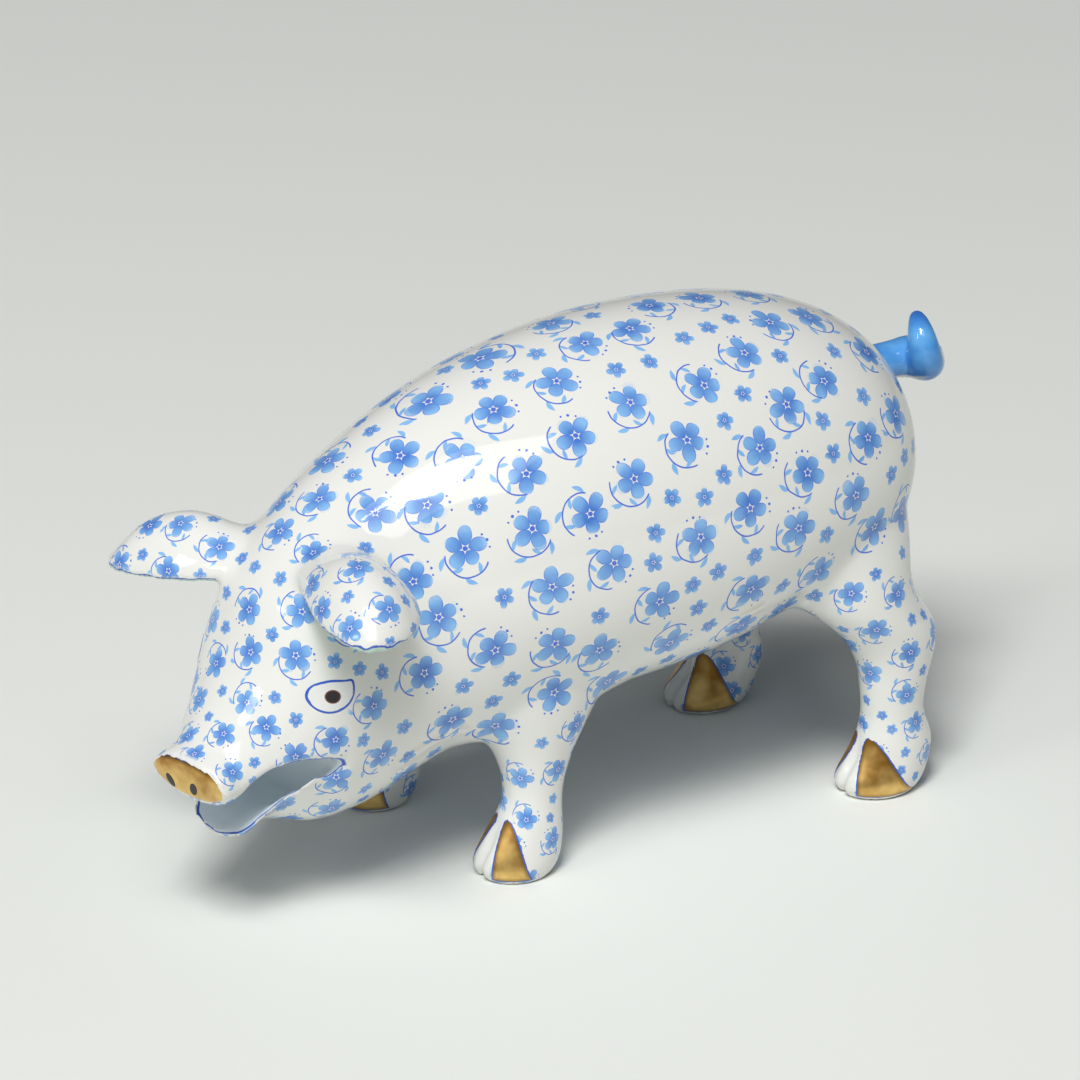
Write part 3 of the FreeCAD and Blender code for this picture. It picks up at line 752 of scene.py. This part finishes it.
def stemAndLeaves(add, place, isLarge):
    # An arc round the left of the seed, with drop-shaped leaves on alternate sides of it
    s = sprigShape
    u = add("SeparateXYZ", place)
    reach = add("VectorMath LENGTH", place, out="Value")
    angle = add("ARCTAN2", add("MULTIPLY", u.node.outputs[1], -1.0), add("MULTIPLY", u, -1.0))
    run = add("MULTIPLY", add("ADD", angle, s["stemStart"]), s["stemRadius"])
    aside = add("SUBTRACT", reach, s["stemRadius"])
    begun = add("MULTIPLY", run, s["stemEnds"], use_clamp=True)
    unended = add("MULTIPLY_ADD", run, -s["stemEnds"], s["stemLength"] * s["stemEnds"], use_clamp=True)
    here = add("MULTIPLY", add("MULTIPLY", begun, unended), isLarge)
    stem = add("MULTIPLY_ADD", add("ABSOLUTE", aside), -s["sharp"], s["lineHalfWidth"] * s["sharp"],
               use_clamp=True)
    order = add("DIVIDE", run, s["leafEvery"])
    along = add("MULTIPLY_ADD", add("FRACT", order), s["leafEvery"], s["leafFrom"])
    flip = add("FLOORED_MODULO", add("FLOOR", order), 2.0)
    away = add("MULTIPLY", aside, add("MULTIPLY_ADD", flip, -2.0, 1.0))
    x = add("ADD", add("MULTIPLY", along, s["leafAlong"]), add("MULTIPLY", away, s["leafAside"]))
    y = add("SUBTRACT", add("MULTIPLY", away, s["leafAlong"]), add("MULTIPLY", along, s["leafAside"]))
    share = add("DIVIDE", x, s["leafLength"], use_clamp=True)
    width = add("MULTIPLY", share, add("SUBTRACT", 1.0, share))
    width = add("MULTIPLY_ADD", width, *s["leafWidth"])
    inside = add("SUBTRACT", width, add("ABSOLUTE", y))
    leaves = add("MULTIPLY", inside, s["sharp"], use_clamp=True)
    return add("MULTIPLY", stem, here), add("MULTIPLY", leaves, here)


def threeDots(add, place, isLarge):
    dots, sharp = 0.0, sprigShape["sharp"]
    for spot, size in sprigShape["dots"]:
        gap = add("VectorMath DISTANCE", place, spot, out="Value")
        dots = add("MAXIMUM", dots, add("MULTIPLY_ADD", gap, -sharp, size * sharp, use_clamp=True))
    return add("MULTIPLY", dots, isLarge)


def paintedGlaze():
    look = glazeLook
    material, add, shader = newMaterial("hard-paste porcelain, blue under clear glaze")
    chance = add("SeparateXYZ", add("UVMap", uv_map="lot"))
    isLarge = chance.node.outputs[1]
    where = add("TexCoord", out="Object")

    # The brush wobbles
    noise = add("TexNoise", where, at=look["wobble"], out="Color")
    wobble = add("VectorMath MULTIPLY", add("VectorMath SUBTRACT", noise, (0.5, 0.5, 0.5)), look["wobbleBy"])
    place = add("VectorMath ADD", add("UVMap", uv_map="sprig"), wobble)
    petals, share, rim, middle = blossom(add, place, chance, isLarge)
    stem, leaves = stemAndLeaves(add, place, isLarge)
    dots = threeDots(add, place, isLarge)

    # Washes, which pool, and lines
    pool = add("TexNoise", where, at=look["pool"])
    depth = add("MULTIPLY_ADD", share, *look["fading"])
    depth = add("ADD", depth, add("MULTIPLY_ADD", pool, *look["pooled"]), use_clamp=True)
    wash = add("Mix", depth, at={6: linear(look["washPale"]), 7: linear(look["washDeep"])}, **rgba)
    free = add("SUBTRACT", 1.0, add("Attribute", attribute_name="bare", out="Fac"))
    washed = add("MULTIPLY", add("MAXIMUM", petals, leaves), add("MULTIPLY", free, look["washShare"]))
    lines = add("MAXIMUM", add("MULTIPLY", rim, look["rimShare"]), middle)
    lines = add("MAXIMUM", lines, add("MAXIMUM", stem, dots))
    lines = add("MULTIPLY", lines, free)

    # Lining of the ears and the mouth, and the brush line along their edges, one coat over the other
    # Painted shade: the mouth's lining is darker towards the back of the mouth
    mouthColour = add("Mix", add("Attribute", attribute_name="shadeInMouth", out="Fac"),
                      at={6: linear(look["mouth"]), 7: linear(look["mouthShaded"])}, **rgba)
    coats, edges = [(washed, wash), (lines, linear(look["line"]))], []
    thick = add("MULTIPLY_ADD", pool, *look["edgeWidth"])
    for name, inner in (("earSide", linear(look["lining"])), ("mouthSide", mouthColour)):
        field = add("Attribute", attribute_name=name, out="Fac")
        coats.append((add("MULTIPLY", field, look["sideSharp"], use_clamp=True), inner))
        edge = add("SUBTRACT", thick, add("ABSOLUTE", field))
        edges.append((add("MULTIPLY", edge, look["edgeSharp"], use_clamp=True), linear(look["lip"])))
    colour = linear(look["body"])
    for share, coat in coats + edges:
        colour = add("Mix", share, at={6: colour, 7: coat}, **rgba)
    swell = add("TexNoise", where, at=look["swell"])
    bump = add("Bump", look["bumpStrength"], look["bumpDistance"], at={"Height": swell})
    feed(shader, {"Base Color": colour, "Roughness": look["roughness"], "IOR": look["index"],
                  "Normal": bump})
    return material


porcelain = paintedGlaze()
shadeFrom, shadeTo = -58, -51     # mm along the pig, where painted shade darkens the mouth's colour towards the back
shadeInMouth = smoothStep(shadeFrom, shadeTo, straight[:, 0])
legNodes = ["leg_" + name for name in legs["hooves"]]
makePiece("glazed_body", skinPoints, skinFaces, porcelain, "porcelain",
          "trunk_shell", "head_shell", "lower_jaw", "ear_left", "ear_right", *legNodes,
          maps={"sprig": sprigPlace, "lot": sprigLot},
          fields={"bare": bare, "earSide": earSide, "mouthSide": mouthSide, "shadeInMouth": shadeInMouth})
print("body painted")


# Tail: a stub and one curl under solid blue glaze
tail = {
    "root": (44.0, 0.2, 55.4), "centre": (58.7, -0.5, 57.9), "curlRadius": 3.5, "start": math.radians(50.0),
    "end": math.radians(272.0), "pitch": -0.4, "rootRadius": 2.9, "radius": 2.5, "tipRadius": 1.0,
    "axis": (0.87, -0.46, 0.17), "taper": 3.0, "voxel": 0.24, "fillet": 4.2, "along": 40, "around": 32,
}
tailRounds = {"remeshed": 6, "swell": 12, "joint": 40, "shrunk": 6, "even": 20}


def makeTail():
    # A round tube along an arc that shifts along its axis, its radius falling by a power of the way, and a
    # cone
    axis = np.array(tail["axis"]) / np.linalg.norm(tail["axis"])
    far = np.cross((0, 0, 1), axis)
    far /= np.linalg.norm(far)
    up = np.cross(axis, far)
    centre, root = np.array(tail["centre"]), np.array(tail["root"])
    share = np.linspace(0, 1, tail["along"])[:, None]
    turn = tail["start"] + (tail["end"] - tail["start"]) * share
    outward = far * np.cos(turn) - up * np.sin(turn)
    middle = centre + outward * tail["curlRadius"] + axis * tail["pitch"] * (share - 0.5)
    radius = tail["radius"] + (tail["tipRadius"] - tail["radius"]) * share ** tail["taper"]
    angle = turns(tail["around"])[None, :, None]
    curl = middle[:, None] + (outward[:, None] * np.cos(angle) + axis * np.sin(angle)) * radius[:, None]
    reach = centre + outward[0] * tail["curlRadius"] - root
    side = np.cross(reach, up)
    side /= np.linalg.norm(side)
    top = np.cross(side, reach / np.linalg.norm(reach))
    radius = (tail["rootRadius"] + (tail["radius"] - tail["rootRadius"]) * share)[:, None]
    stub = (root + reach * share)[:, None] + (side * np.cos(angle) + top * np.sin(angle)) * radius
    pieces = closedGrid(curl), closedGrid(stub)
    points, faces = grownTogether(pieces, tail["voxel"])
    edges = edgesOf(faces)
    points = relax(points, edges, tailRounds["remeshed"])

    # The same swelling as in the skin's joints
    found = [nearest(treeOf(*piece), points) for piece in pieces]
    away = [np.linalg.norm(spots - points, axis=1) for spots, _ in found]
    corner = np.clip(cornerGain * (1 - (found[0][1] * found[1][1]).sum(1)), 0, 1)
    closeness = np.clip(1 - np.maximum(*away) / tail["fillet"], 0, 1) ** 2 * corner
    swell = np.tile(tail["fillet"] / 4 * closeness[:, None], 3)
    points += normalsOf(points, faces) * relax(swell, edges, tailRounds["swell"], shrink=True)
    points = relax(points, edges, tailRounds["joint"], np.clip(2 * closeness, 0, 1), shrink=True)
    points = relax(points, edges, tailRounds["shrunk"], shrink=True)
    return relax(points, edges, tailRounds["even"]), faces


tailPoints, tailFaces = makeTail()

# Cobalt glaze run over the tail: cornflower blue that thins on the ridges and pools darker at the tip, and
# painted shade that darkens it where it faces down
tailLook = {"thin": "#6CB4EE", "thick": "#3F8AD9", "deep": "#2C6AC4", "bare": "#E4E6E4", "roughness": 0.07,
            "cloud": {"Scale": 260.0, "Detail": 2.0}, "clouded": (2.2, -0.6)}


def blueGlaze():
    material, add, shader = newMaterial("cobalt glaze, fired")
    cloud = add("TexNoise", add("TexCoord", out="Object"), at=tailLook["cloud"])
    depth = add("MULTIPLY_ADD", cloud, *tailLook["clouded"], use_clamp=True)
    coats = [(depth, "thick")]
    coats += [(add("Attribute", attribute_name=field, out="Fac"), code)
              for field, code in (("darker", "deep"), ("unpainted", "bare"))]
    colour = linear(tailLook["thin"])
    for share, code in coats:
        colour = add("Mix", share, at={6: colour, 7: linear(tailLook[code])}, **rgba)
    feed(shader, {"Base Color": colour, "Roughness": tailLook["roughness"], "IOR": glazeLook["index"]})
    return material


# Darker by height, where the glaze pools at the tip, and with painted shade by how far a spot faces down;
# bare by how far a spot faces down, and along the pig
tailPaint = {"top": (60.8, 62.8), "below": (-0.25, -0.8), "shadeBelowShare": 0.75, "bareBelow": (-0.62, -0.7),
             "bareStub": (57.8, 56.0)}
tailFacing = normalsOf(tailPoints, tailFaces)[:, 2]
darker = smoothStep(*tailPaint["top"], tailPoints[:, 2])
# Painted shade: darker where the tail faces down
darker = np.clip(darker + tailPaint["shadeBelowShare"] * smoothStep(*tailPaint["below"], tailFacing), 0, 1)
unpainted = smoothStep(*tailPaint["bareBelow"], tailFacing)
unpainted *= smoothStep(*tailPaint["bareStub"], tailPoints[:, 0])
makePiece("blue_tail", tailPoints, tailFaces, blueGlaze(), "blue_glaze", "tail_curl",
          fields={"darker": darker, "unpainted": unpainted})
print("tail done")

# Layers of gold and enamel, in millimetres; the rim is sunk into the skin by a share of the thickness
layers = {"sunk": -0.3, "stand": 9.0, "thickness": 0.05, "rings": 12}


def layOn(points, outward, lift, stand):
    # Where lines that come in against outward from so far off meet the skin, lifted off it by the thickness
    found = []
    for start in (points + outward * stand).tolist():
        spot, facing = skinTree.ray_cast(start, (-outward).tolist(), 2 * stand)[:2]
        spot, facing = (spot, facing) if spot else skinTree.find_nearest(start)[:2]
        found.append((*spot, *facing))
    found = np.array(found)
    return found[:, :3] + found[:, 3:] * lift[:, None]


def layer(name, rim, middle, outward, material, slot, *nodes,
          stand=layers["stand"], thickness=layers["thickness"], rings=layers["rings"]):
    # Rings between the middle and the rim, laid on the skin. The rim dips into the skin, so no edge stands
    # open. One map holds the distance to the rim and the height over the middle, the other the place seen
    # from outside.
    count = len(rim)
    share = (np.arange(rings) + 1)[::-1, None, None] / rings
    flat = np.concatenate([(middle + (rim - middle) * share).reshape(-1, 3), middle[None]])
    lift = np.where(np.arange(len(flat)) < count, layers["sunk"], 1.0) * thickness
    points = layOn(flat, outward, lift, stand)
    ring, following = np.arange(count), (np.arange(count) + 1) % count
    start = np.arange(rings - 1)[:, None] * count
    sides = np.stack([start + ring, start + following, start + following + count, start + ring + count], -1)
    last = (rings - 1) * count
    even = ring[::2]
    hub = [last + even, last + even + 1, last + (even + 2) % count, np.full(len(even), len(flat) - 1)]
    faces = np.concatenate([sides.reshape(-1, 4), np.stack(hub, 1)])
    a, b, c = points[faces[:, 0]], points[faces[:, 1]], points[faces[:, 2]]
    if (np.cross(b - a, c - a) @ outward).sum() < 0:
        faces = faces[:, ::-1]
    up = np.array([0, 0, 1]) - outward * outward[2]
    out = flat - middle
    inset = np.linalg.norm(flat[:, None] - rim, axis=2).min(1)
    edge = np.stack([inset, out @ up], 1)[faces.ravel()]
    place = np.stack([out @ np.cross(up, outward), out @ up], 1)[faces.ravel()]
    return makePiece(name, points, faces, material, slot, *nodes, maps={"edge": edge, "place": place})


# Burnished gold: lustre fired on the glaze and rubbed with agate. Satin, with a milky look where the white
# shines through, browner where it is thick at the rim, and with a thin blue line round it. Lighter low down
# and darker higher up: a painted reflection of the floor.
goldLook = {
    "bright": "#F0CB7C", "deep": "#B07E34", "rim": "#6E4C20", "outline": "#3F62BE",
    "roughness": (0.2, 0.26), "metal": 0.7, "cloud": {"Scale": 380.0, "Detail": 2.0},
    "wearAndReflection": (1.8, -0.3), "floorReflectionByHeight": -0.11, "upperSharp": 1.5,
    "thick": (-1.6, 1.3), "rimShare": 0.8, "lineSharp": 16.0,
}


def gold(name, lineWidth, lineFrom):
    look = goldLook
    material, add, shader = newMaterial(name)
    inset = add("SeparateXYZ", add("UVMap", uv_map="edge"))
    height = inset.node.outputs[1]
    cloud = add("TexNoise", add("TexCoord", out="Object"), at=look["cloud"])
    wearAndReflection = add("MULTIPLY_ADD", cloud, *look["wearAndReflection"])
    # Painted reflection of the floor: the gold is lighter low down and darker higher up
    wearAndReflection = add("MULTIPLY_ADD", height, look["floorReflectionByHeight"], wearAndReflection, use_clamp=True)
    upper = add("MULTIPLY_ADD", height, look["upperSharp"], -look["upperSharp"] * lineFrom, use_clamp=True)
    thick = add("MULTIPLY_ADD", inset, *look["thick"], use_clamp=True)
    thick = add("MULTIPLY", thick, add("MULTIPLY", upper, look["rimShare"]))
    line = add("MULTIPLY_ADD", inset, -look["lineSharp"], look["lineSharp"] * lineWidth, use_clamp=True)
    line = add("MULTIPLY", line, upper)
    colour = linear(look["deep"])
    for share, code in ((wearAndReflection, "bright"), (thick, "rim"), (line, "outline")):
        colour = add("Mix", share, at={6: colour, 7: linear(look[code])}, **rgba)
    rough = add("MULTIPLY_ADD", cloud, *look["roughness"])
    metal = add("MULTIPLY_ADD", line, -look["metal"], look["metal"])
    feed(shader, {"Base Color": colour, "Metallic": metal, "Roughness": rough})
    return material


# One patch on each toe: foot width, apex and the way it faces
toe = {"height": 8.8, "inner": {"front": 2.5, "rear": 2.9}, "outer": {"front": 3.2, "rear": 4.9},
       "lean": {"front": 0.9, "rear": 1.8}, "angle": math.radians(44.0), "lift": 0.5, "roundness": 0.5,
       "middle": 0.33, "footPoints": 24, "sidePoints": 36, "line": 0.3, "lineFrom": -9.0}
hoofGold = gold("burnished gold on the toes", toe["line"], toe["lineFrom"])     # all round

# Its rim runs along the ground, up one side to the apex and down the other
steps = partial(np.linspace, endpoint=False)
footPoints, sidePoints = toe["footPoints"], toe["sidePoints"]
climb = np.concatenate([np.zeros(footPoints), steps(0, 1, sidePoints), steps(1, 0, sidePoints)])
way = np.concatenate([steps(-1, 1, footPoints), np.ones(sidePoints), -np.ones(sidePoints)])
narrowing = (1 - climb) ** toe["roundness"]
for name, (x, y, lean) in legs["hooves"].items():
    end = name.split("_")[0]
    for side in (-1, 1):
        outward = np.array([-math.cos(toe["angle"]), side * math.sin(toe["angle"]), 0])
        across = np.array([outward[1], -outward[0], 0])
        foot = np.array([x, y, toe["lift"]])
        apex = np.array([lean * toe["height"], 0, toe["height"] - toe["lift"]])
        apex = apex - across * side * toe["lean"][end]
        halfWidth = np.where(way * side > 0, toe["outer"][end], toe["inner"][end]) * narrowing
        rim = foot + apex * climb[:, None] + across * (way * halfWidth)[:, None]
        layer("toe_gold_%s_%s" % (name, "left" if side < 0 else "right"), rim, foot + apex * toe["middle"],
              outward, hoofGold, "gilding", "hoof_gilding_" + name)
print("hooves gilded")

# Gold all over the face of the snout, and two nostrils in dark enamel
snout = {"margin": 0.6, "spacing": 4.4, "halfWidth": 0.75, "halfHeight": 1.25, "drop": 1.3, "shift": 1.3,
         "tilt": math.radians(20.0), "line": 0.14, "lineFrom": 1.3, "stand": 2.0,
         "nostrilPoints": 32, "nostrilRings": 6, "nostrilThickness": 0.09}
rimPoints = 96


def snoutFrame():
    s = body["sections"][-1]
    top, bottom = (bend(np.array([x, 0, z])) for x, z in (s[:2], s[2:4]))
    up = (top - bottom) / np.linalg.norm(top - bottom)
    side = np.array([-math.sin(neck["yaw"]), math.cos(neck["yaw"]), 0])
    forward = np.cross(side, up)
    return (top + bottom) / 2, forward * -np.sign(forward[0]), up, side


middle, forward, up, side = snoutFrame()
places = np.arange(rimPoints) * knots["body"] / rimPoints
rim = splineThrough(bodyRings()[-1], np.arange(knots["body"] + 1.0), places, True)
size = np.linalg.norm(rim - middle, axis=1, keepdims=True)
rim = middle + (rim - middle) * (size - snout["margin"]) / size
snoutGold = gold("burnished gold on the snout", snout["line"], snout["lineFrom"])
layer("snout_gold", rim, middle, forward, snoutGold, "gilding", "snout_gilding", stand=snout["stand"])

# Iron-brown enamel, fired on: nearly black, glossy
enamelLook = {"thick": "#120D0B", "thin": "#3A2A20", "roughness": 0.2, "fade": 3.0}


def darkEnamel():
    material, add, shader = newMaterial("iron-brown enamel")
    inset = add("SeparateXYZ", add("UVMap", uv_map="edge"))
    depth = add("MULTIPLY", inset, enamelLook["fade"], use_clamp=True)
    colour = add("Mix", depth, at={6: linear(enamelLook["thin"]), 7: linear(enamelLook["thick"])}, **rgba)
    feed(shader, {"Base Color": colour, "Roughness": enamelLook["roughness"]})
    return material


nostrilEnamel = darkEnamel()
angle = turns(snout["nostrilPoints"])[:, None]
for way, name in ((-1, "left"), (1, "right")):
    centre = middle + side * (snout["shift"] + way * snout["spacing"] / 2) - up * snout["drop"]
    tall = up * math.cos(snout["tilt"]) + side * way * math.sin(snout["tilt"])
    wide = np.cross(tall, forward)
    oval = centre + tall * snout["halfHeight"] * np.cos(angle) + wide * snout["halfWidth"] * np.sin(angle)
    layer("nostril_" + name, oval, centre, forward, nostrilEnamel, "dark_enamel", "nostril_enamel",
          stand=snout["stand"], thickness=snout["nostrilThickness"], rings=snout["nostrilRings"])
print("snout gilded")

# Eyes: a white almond with a blue outline and a black pupil ringed with brown. The outline of the almond
# is in millimetres from the pupil's middle, to the rear and up.
almond = np.array([(-2.95, 0.1), (-2.4, 1.4), (-1.2, 2.1), (0.4, 2.3), (1.8, 2.1), (2.75, 2.0), (2.95, 0.9),
                   (2.6, -0.5), (1.7, -1.65), (0.2, -2.3), (-1.4, -2.1), (-2.5, -1.2)])
eyeLook = {"white": "#EDEDEA", "outline": "#3A62C8", "iris": "#6A3420", "pupil": "#0C0A0A",
           "roughness": 0.07, "pupilSize": (1.0, 0.98, 1.0), "sharp": 12.0, "irisEdge": 12.0,
           "pupilEdge": 9.8,
           "brush": {"Scale": 600.0}, "lineWidth": (0.36, 0.2)}


def eyeEnamel():
    look = eyeLook
    material, add, shader = newMaterial("eye, painted in enamel")
    inset = add("SeparateXYZ", add("UVMap", uv_map="edge"))
    place = add("VectorMath DIVIDE", add("UVMap", uv_map="place"), look["pupilSize"])
    reach = add("VectorMath LENGTH", place, out="Value")
    brush = add("TexNoise", add("TexCoord", out="Object"), at=look["brush"])
    width = add("MULTIPLY_ADD", brush, *look["lineWidth"])
    outline = add("MULTIPLY", add("SUBTRACT", width, inset), look["sharp"], use_clamp=True)
    colour = add("Mix", outline, at={6: linear(look["white"]), 7: linear(look["outline"])}, **rgba)
    for edge, code in (("irisEdge", "iris"), ("pupilEdge", "pupil")):
        share = add("MULTIPLY_ADD", reach, -look["sharp"], look[edge], use_clamp=True)
        colour = add("Mix", share, at={6: colour, 7: linear(look[code])}, **rgba)
    feed(shader, {"Base Color": colour, "Roughness": look["roughness"]})
    return material


eyePaint = eyeEnamel()
rear = np.array([math.cos(neck["yaw"]), math.sin(neck["yaw"]), 0])
places = np.arange(rimPoints) * len(almond) / rimPoints
outline = splineThrough(almond, np.arange(len(almond) + 1.0), places, True)
centre = bend(np.array([eye["x"], 0.0, eye["z"]]))
for name, way in (("left", -1), ("right", 1)):
    rim = centre + rear * outline[:, :1] + np.array([0, 0, 1]) * outline[:, 1:]
    layer("eye_" + name, rim, centre, side * way, eyePaint, "dark_enamel", "eye_enamel_" + name,
          stand=eye["stand"], rings=eye["rings"])
print("eyes painted")

stage = {"floor": "#EEF0EA", "roughness": 0.9, "half": 3.0, "world": "#E2E9F4", "worldStrength": 0.1}


def makeStage():
    corners = np.array([(-1, -1, 0), (1, -1, 0), (1, 1, 0), (-1, 1, 0)]) * stage["half"]
    floor = newObject("floor", corners, np.array([[0, 1, 2, 3]]))
    material, _, shader = newMaterial("matt paper sweep")
    feed(shader, {"Base Color": linear(stage["floor"]), "Roughness": stage["roughness"]})
    floor.data.materials.append(material)
    world = bpy.data.worlds.new("studio")
    bpy.context.scene.world = world
    world.use_nodes = True
    feed(world.node_tree.nodes["Background"], {0: linear(stage["world"]), 1: stage["worldStrength"]})


# Place, size and watts of each lamp; all face one spot
lamps = {
    "key softbox": ((-0.74, -0.7, 1.7), (0.55, 0.7), 23.5),
    "overhead scrim": ((-0.62, -0.8, 1.72), (1.4, 1.0), 12.0),
    "side softbox": ((-1.6, -0.15, 1.0), (0.35, 0.4), 3.5),
}
lampTarget = (0, 0, 0.03)


def softBox(name, place, size, power):
    lamp = bpy.data.lights.new(name, "AREA")
    lamp.shape, lamp.size, lamp.size_y, lamp.energy = "RECTANGLE", *size, power
    made = bpy.data.objects.new(name, lamp)
    made.location = place
    made.rotation_euler = (Vector(lampTarget) - Vector(place)).to_track_quat("-Z", "Y").to_euler()
    bpy.context.scene.collection.objects.link(made)


makeStage()
for name, (place, size, power) in lamps.items():
    softBox(name, place, size, power)

view = {"azimuth": math.radians(-32.0), "elevation": math.radians(23.5), "distance": 0.9,
        "target": (0.005538, 0.015028, 0.035), "lens": 213.24, "sensor": 36.0, "nearest": 0.05,
        "farthest": 20.0}
camera = bpy.data.cameras.new("camera")
camera.lens, camera.sensor_width = view["lens"], view["sensor"]
camera.clip_start, camera.clip_end = view["nearest"], view["farthest"]
cameraObject = bpy.data.objects.new("camera", camera)
bpy.context.scene.collection.objects.link(cameraObject)
azimuth, elevation = view["azimuth"], view["elevation"]
level = math.cos(elevation)
back = Vector((math.sin(azimuth) * level, -math.cos(azimuth) * level, math.sin(elevation)))
cameraObject.location = Vector(view["target"]) + back * view["distance"]
cameraObject.rotation_euler = (-back).to_track_quat("-Z", "Y").to_euler()
bpy.context.scene.camera = cameraObject
bpy.context.scene.view_settings.view_transform = "Standard"
print("stage set")
